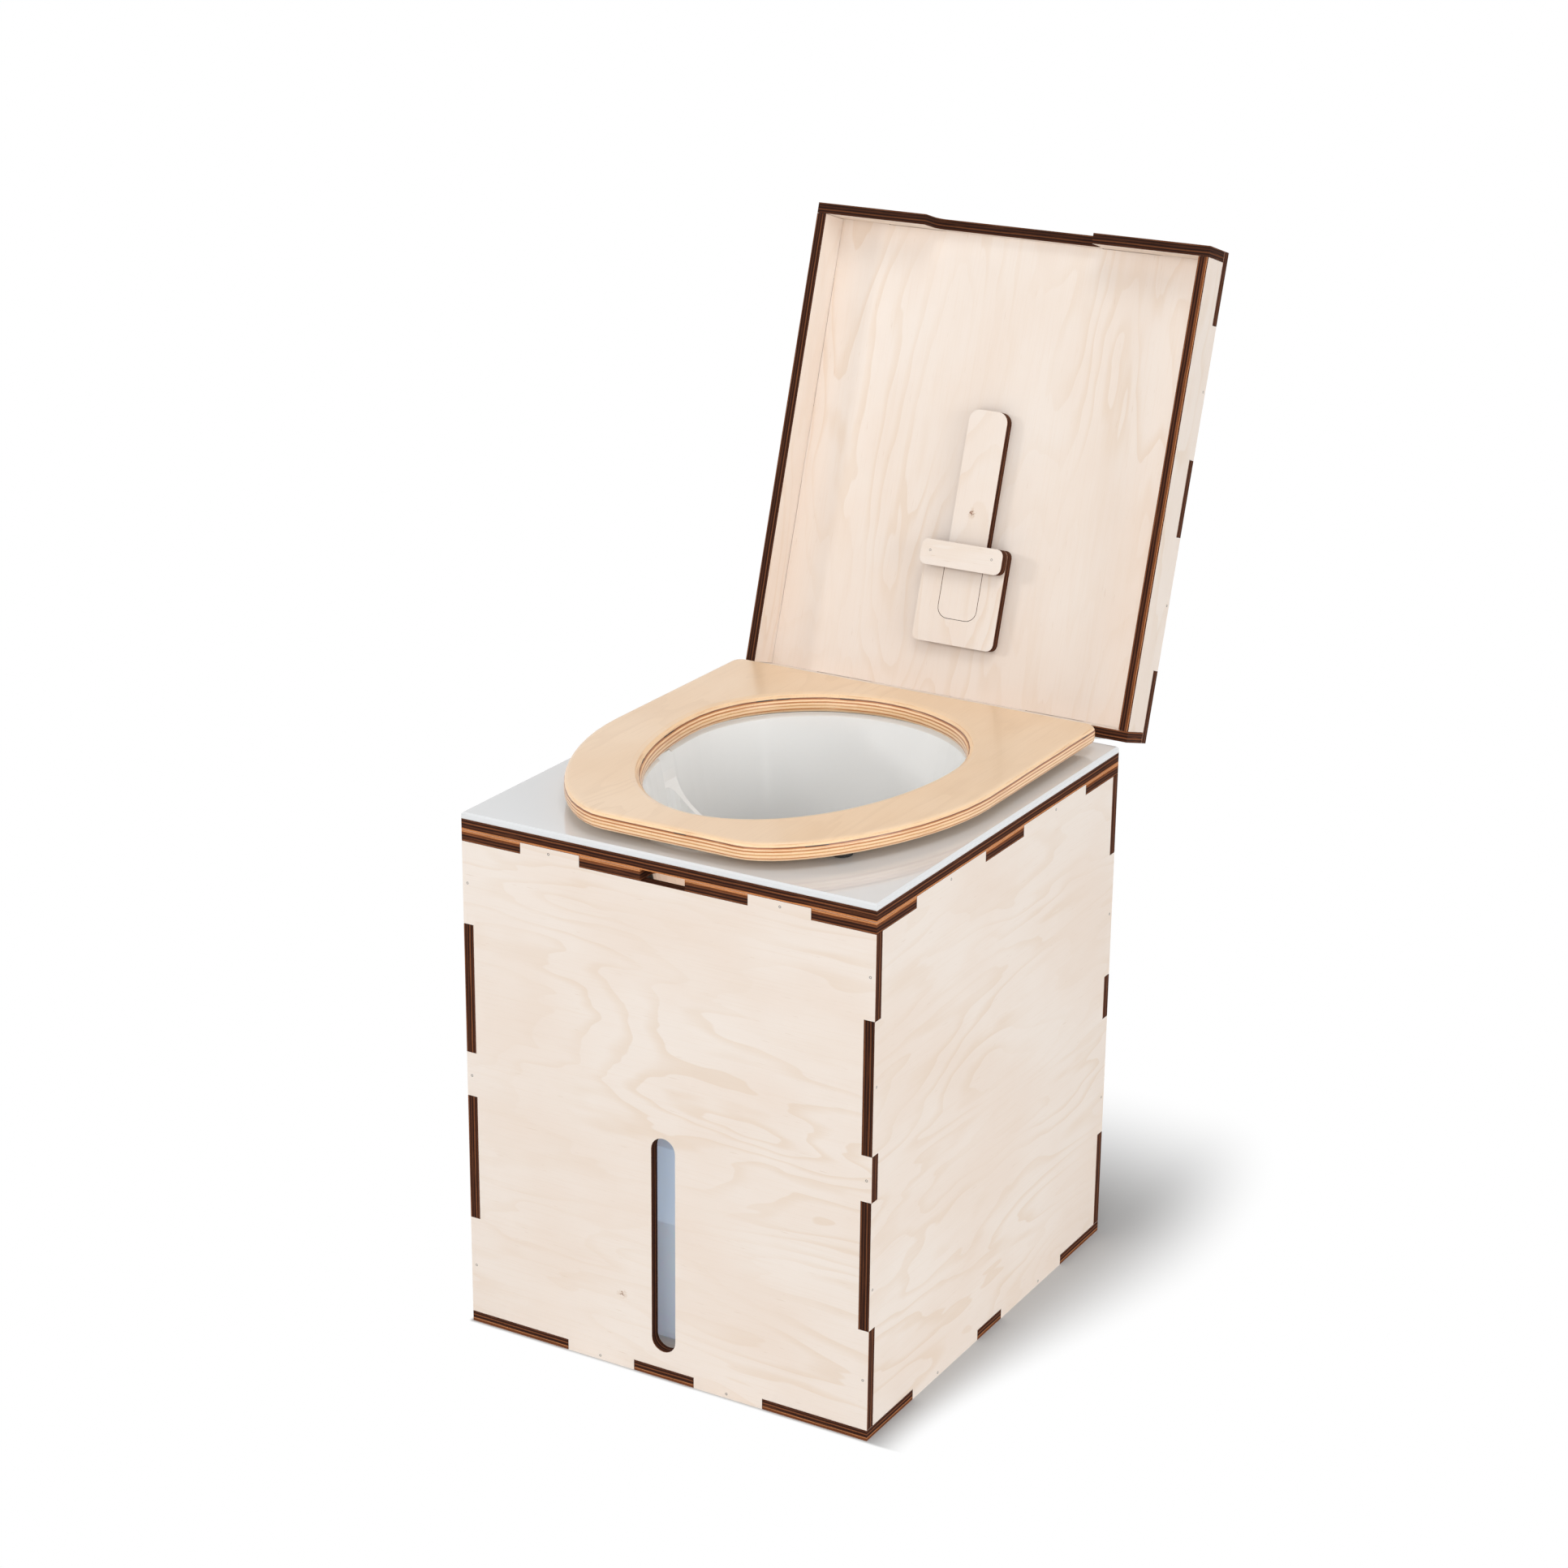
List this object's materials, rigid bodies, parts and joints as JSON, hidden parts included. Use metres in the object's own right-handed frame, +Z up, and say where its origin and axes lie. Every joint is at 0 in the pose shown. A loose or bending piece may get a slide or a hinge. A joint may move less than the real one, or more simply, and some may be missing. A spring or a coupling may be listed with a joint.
{
  "type": "separating dry toilet",
  "caption": "Plywood dry toilet: finger-jointed case with window slot, hinged seat board with separating insert, and a box lid that holds a paper roll",
  "frame": {"origin": "middle of the case's footprint, on the floor", "axes": "+Z up, -Y is the front with the window slot, +X is to the right of somebody who looks at the front"},
  "size_m": [0.37, 0.5898, 0.8395],
  "materials": {
    "birch_ply": "sanded birch plywood with laser-cut edges",
    "seat_birch": "clear lacquered birch plywood",
    "white_gloss": "glossy white",
    "canister_plastic": "milky translucent",
    "bucket_plastic": "satin grey",
    "rubber": "soft black",
    "zinc_steel": "zinc plated"
  },
  "bodies": {
    "case": {"front_panel": "birch_ply", "back_panel": "birch_ply", "left_panel": "birch_ply", "right_panel": "birch_ply", "bottom_panel": "birch_ply", "top_frame": "birch_ply", "urine_canister": "canister_plastic", "canister_strap": "canister_plastic", "solids_bucket": "bucket_plastic", "board_hinge_left_case_leaf": "zinc_steel", "board_hinge_right_case_leaf": "zinc_steel", "board_hinge_left_pin": "zinc_steel", "board_hinge_right_pin": "zinc_steel"},
    "seat_unit": {"seat_board": "birch_ply", "cover_plate": "white_gloss", "separator_insert": "white_gloss", "seat_ring": "seat_birch", "seat_buffer_front_left": "rubber", "seat_buffer_front_right": "rubber", "seat_buffer_back_left": "rubber", "seat_buffer_back_right": "rubber", "board_hinge_left_board_leaf": "zinc_steel", "board_hinge_right_board_leaf": "zinc_steel", "lid_hinge_left_board_leaf": "zinc_steel", "lid_hinge_right_board_leaf": "zinc_steel", "lid_hinge_left_pin": "zinc_steel", "lid_hinge_right_pin": "zinc_steel"},
    "lid": {"lid_panel": "birch_ply", "lid_front_wall": "birch_ply", "lid_back_wall": "birch_ply", "lid_left_wall": "birch_ply", "lid_right_wall": "birch_ply", "lid_hinge_left_lid_leaf": "zinc_steel", "lid_hinge_right_lid_leaf": "zinc_steel", "holder_plate": "birch_ply", "holder_bridge": "birch_ply"},
    "tongue": {"holder_tongue": "birch_ply"}
  },
  "joints": [
    {"name": "lid_hinge", "type": "hinge", "parent": "seat_unit", "child": "lid", "pos_m": [0, 0.21335, 0.4401], "axis": [-1, 0, 0], "range_deg": [-107.3, 0]},
    {"name": "board_hinge", "type": "hinge", "parent": "case", "child": "seat_unit", "pos_m": [0, 0.21335, 0.4401], "axis": [-1, 0, 0], "range_deg": [0, 80]},
    {"name": "tongue_slide", "type": "slide", "parent": "lid", "child": "tongue", "axis": [0, 0.2974, 0.9548], "range_m": [0, 0.045]}
  ]
}
